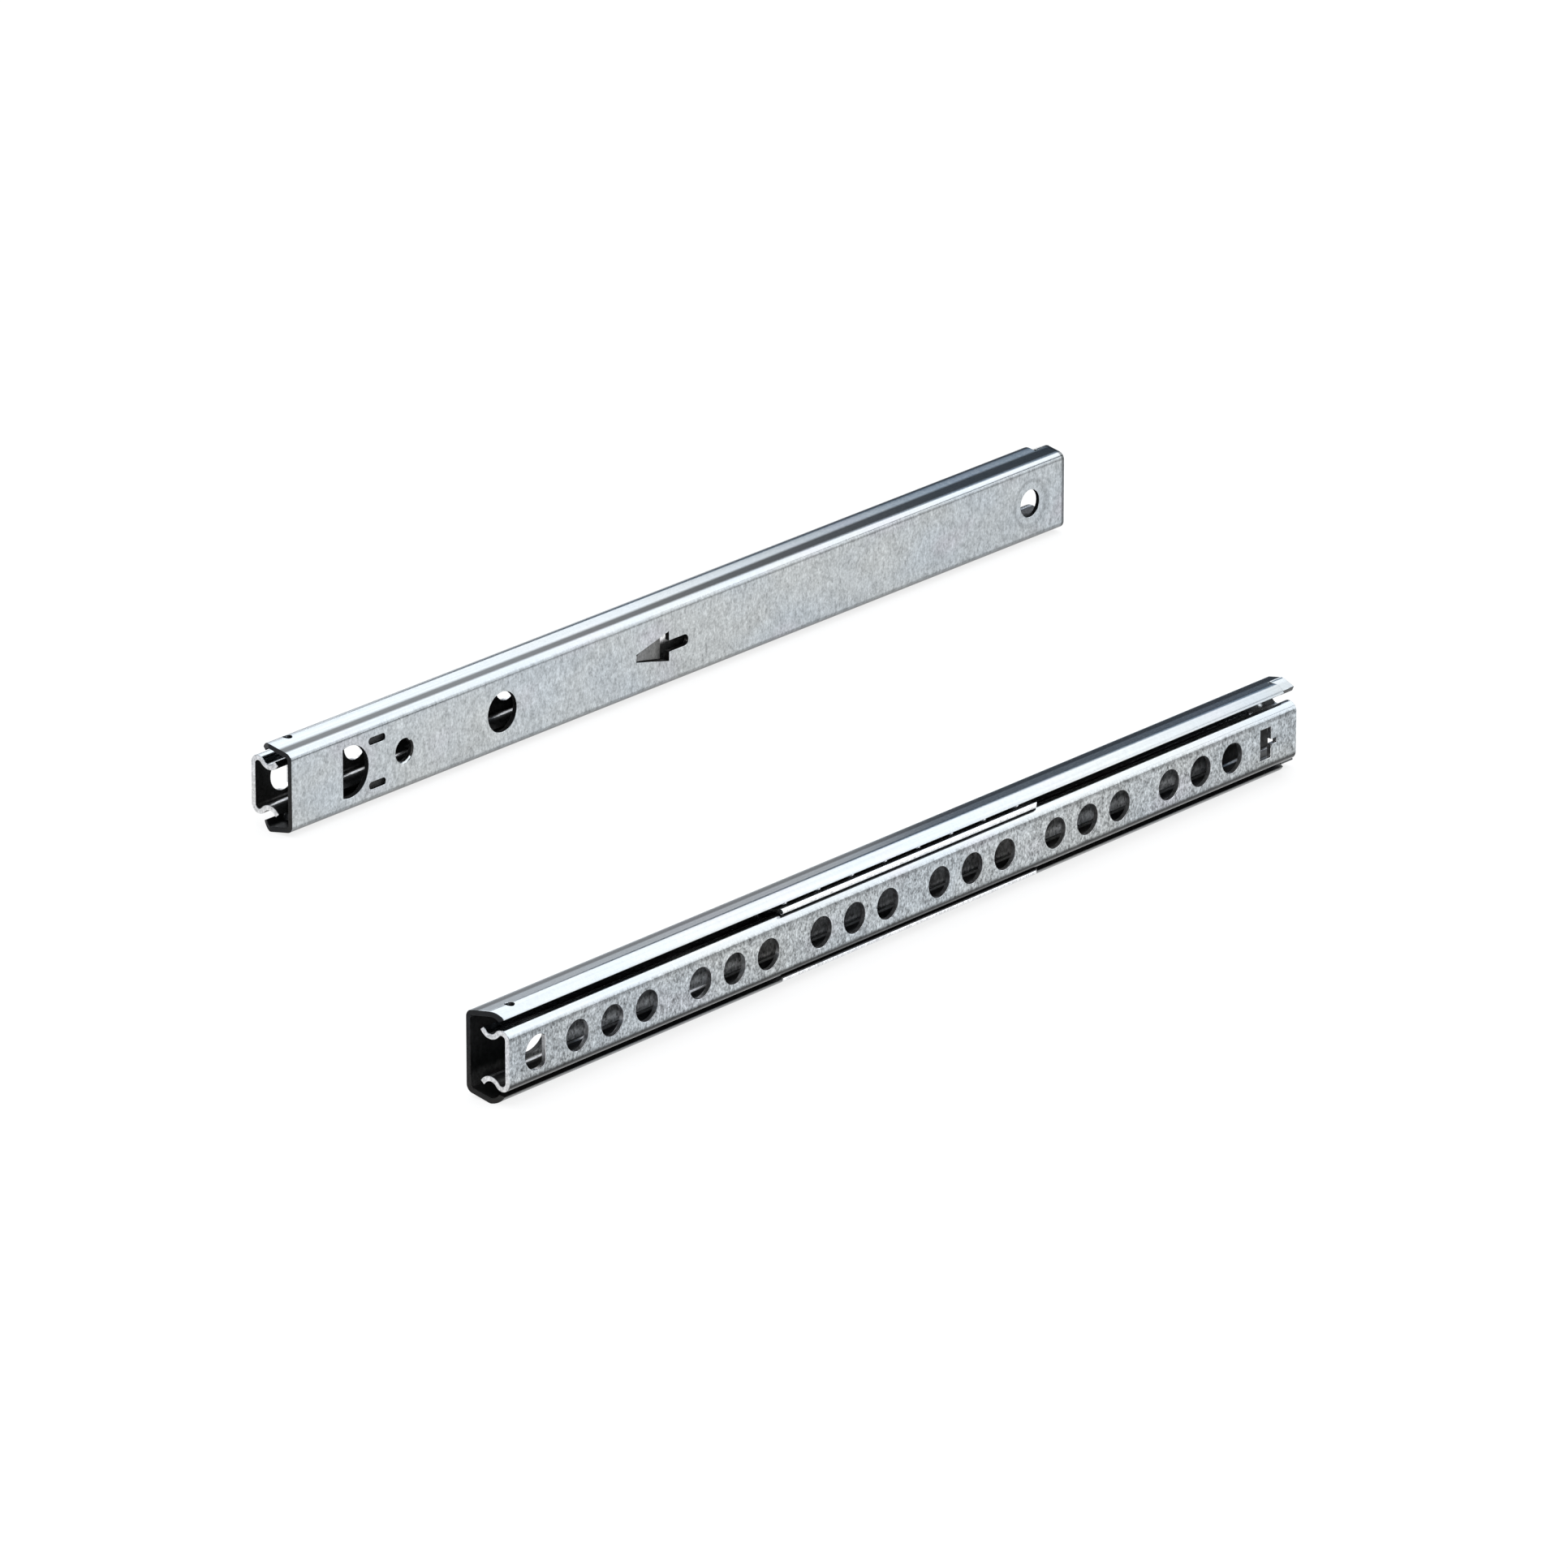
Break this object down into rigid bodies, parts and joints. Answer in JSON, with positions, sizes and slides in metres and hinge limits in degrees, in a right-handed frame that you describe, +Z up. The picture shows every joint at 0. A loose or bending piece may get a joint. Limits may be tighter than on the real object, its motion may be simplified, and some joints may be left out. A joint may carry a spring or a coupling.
{
  "type": "cabinet drawer slide",
  "caption": "Pair of slim ball-bearing drawer slides for a grooved drawer side: each has a channel outer rail, a perforated inner rail and a ball cage between them.",
  "frame": {"origin": "under the middle of the pair, at the height of the outer rails' lower flanges", "axes": "+X to the front of the drawer, along both slides; +Y from the left slide to the right one; +Z up"},
  "size_m": [0.287, 0.126, 0.017],
  "materials": {
    "outer_rail": "bright zinc plate over rolled sheet, fine grain",
    "inner_rail": "bright zinc plate over rolled sheet, fine grain",
    "ball_cage": "bright zinc plate over thin strip",
    "balls": "polished bearing steel"
  },
  "bodies": {
    "outer_rails": {"left_outer_rail": "outer_rail", "right_outer_rail": "outer_rail"},
    "left_inner": {"left_inner_rail": "inner_rail"},
    "left_cage": {"left_ball_cage": "ball_cage", "left_upper_ball_1": "balls", "left_upper_ball_2": "balls", "left_upper_ball_3": "balls", "left_upper_ball_4": "balls", "left_upper_ball_5": "balls", "left_upper_ball_6": "balls", "left_upper_ball_7": "balls", "left_upper_ball_8": "balls", "left_lower_ball_1": "balls", "left_lower_ball_2": "balls", "left_lower_ball_3": "balls", "left_lower_ball_4": "balls", "left_lower_ball_5": "balls", "left_lower_ball_6": "balls", "left_lower_ball_7": "balls", "left_lower_ball_8": "balls"},
    "right_inner": {"right_inner_rail": "inner_rail"},
    "right_cage": {"right_ball_cage": "ball_cage", "right_upper_ball_1": "balls", "right_upper_ball_2": "balls", "right_upper_ball_3": "balls", "right_upper_ball_4": "balls", "right_upper_ball_5": "balls", "right_upper_ball_6": "balls", "right_upper_ball_7": "balls", "right_upper_ball_8": "balls", "right_lower_ball_1": "balls", "right_lower_ball_2": "balls", "right_lower_ball_3": "balls", "right_lower_ball_4": "balls", "right_lower_ball_5": "balls", "right_lower_ball_6": "balls", "right_lower_ball_7": "balls", "right_lower_ball_8": "balls"}
  },
  "joints": [
    {"name": "left_slide_travel", "type": "slide", "parent": "outer_rails", "child": "left_inner", "axis": [-1, 0, 0], "range_m": [0, 0.13]},
    {"name": "left_cage_travel", "type": "slide", "parent": "outer_rails", "child": "left_cage", "axis": [-1, 0, 0], "range_m": [0, 0.065]},
    {"name": "right_slide_travel", "type": "slide", "parent": "outer_rails", "child": "right_inner", "axis": [-1, 0, 0], "range_m": [0, 0.13]},
    {"name": "right_cage_travel", "type": "slide", "parent": "outer_rails", "child": "right_cage", "axis": [-1, 0, 0], "range_m": [0, 0.065]}
  ],
  "couplings": [
    {"joint": "left_cage_travel", "follows": "left_slide_travel", "ratio": 0.5},
    {"joint": "right_cage_travel", "follows": "right_slide_travel", "ratio": 0.5}
  ]
}
